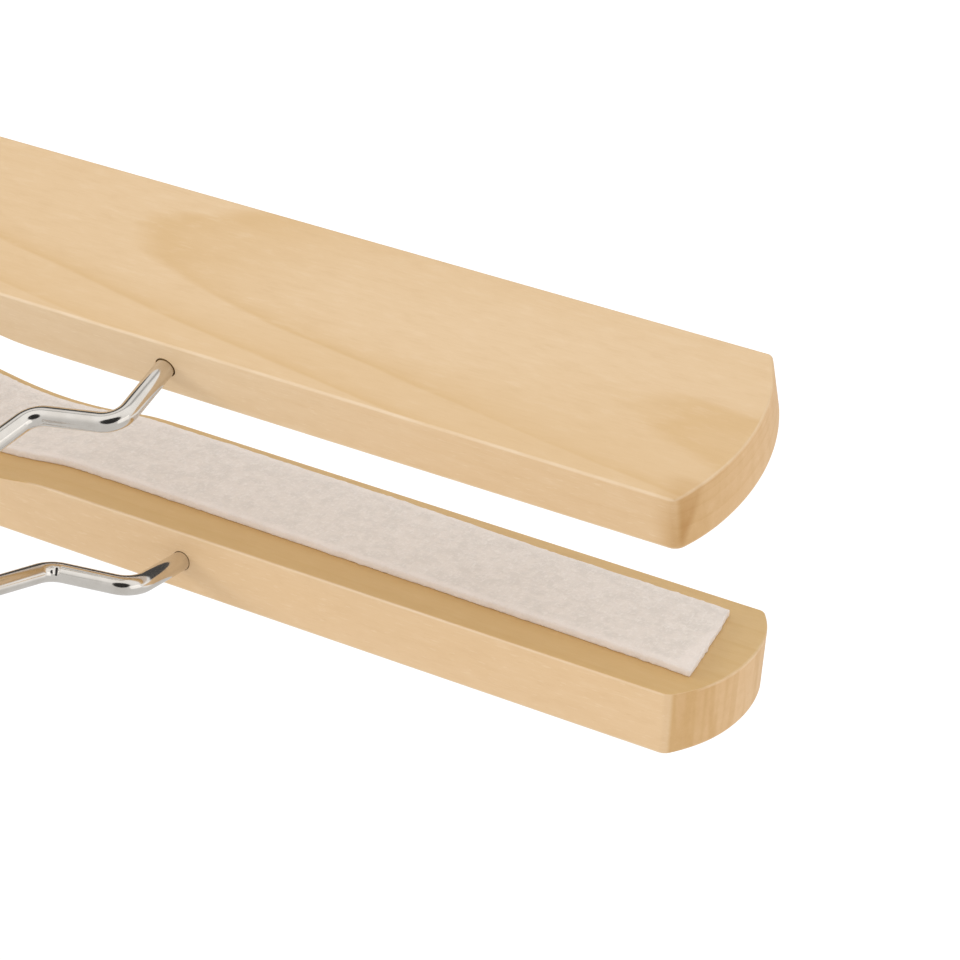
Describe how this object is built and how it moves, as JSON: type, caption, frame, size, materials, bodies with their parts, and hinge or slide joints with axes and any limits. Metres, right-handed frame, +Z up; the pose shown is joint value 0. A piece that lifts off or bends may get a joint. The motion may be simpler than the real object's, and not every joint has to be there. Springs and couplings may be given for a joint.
{
  "type": "trouser hanger",
  "caption": "Clamp hanger for trousers: felt-lined wooden jaws on hinged wire frames, closed by a sliding lock ring, under a swivel hook.",
  "frame": {"origin": "the hook's seat: the inside top of its bow, where it bears on a rail", "axes": "+Z up as the hanger hangs, X along the jaws, +Y towards the rear jaw"},
  "size_m": [0.3, 0.0636, 0.1879],
  "materials": {
    "pale_wood": "fine sanded pale hardwood, clear satin lacquer",
    "white_felt": "off-white pressed wool felt",
    "bright_wire": "bright nickel plated steel wire",
    "bright_sheet": "bright nickel plated steel sheet",
    "bright_washer": "bright nickel plated steel"
  },
  "bodies": {
    "hook": {"hook": "bright_wire", "neck_washer": "bright_washer", "retaining_washer": "bright_washer"},
    "yoke": {"hinge_yoke": "bright_sheet"},
    "rear_clamp": {"rear_frame": "bright_wire", "rear_jaw": "pale_wood", "rear_felt": "white_felt"},
    "front_clamp": {"front_frame": "bright_wire", "front_jaw": "pale_wood", "front_felt": "white_felt"},
    "lock_ring": {"lock_ring": "bright_wire"}
  },
  "joints": [
    {"name": "hook_swivel", "type": "hinge", "parent": "hook", "child": "yoke", "pos_m": [0, 0, -0.06645], "axis": [0, 0, 1], "continuous": true},
    {"name": "rear_clamp_hinge", "type": "hinge", "parent": "yoke", "child": "rear_clamp", "pos_m": [0, 0.0035, -0.07495], "axis": [-1, 0, 0], "range_deg": [0, 10.19]},
    {"name": "front_clamp_hinge", "type": "hinge", "parent": "yoke", "child": "front_clamp", "pos_m": [0, -0.0035, -0.07495], "axis": [1, 0, 0], "range_deg": [0, 10.19]},
    {"name": "lock_ring_slide", "type": "slide", "parent": "yoke", "child": "lock_ring", "axis": [0, 0, -1], "range_m": [0, 0.02]}
  ],
  "couplings": [
    {"joint": "front_clamp_hinge", "follows": "rear_clamp_hinge", "ratio": 1},
    {"joint": "lock_ring_slide", "follows": "rear_clamp_hinge", "m_per_rad": 0.11245}
  ]
}
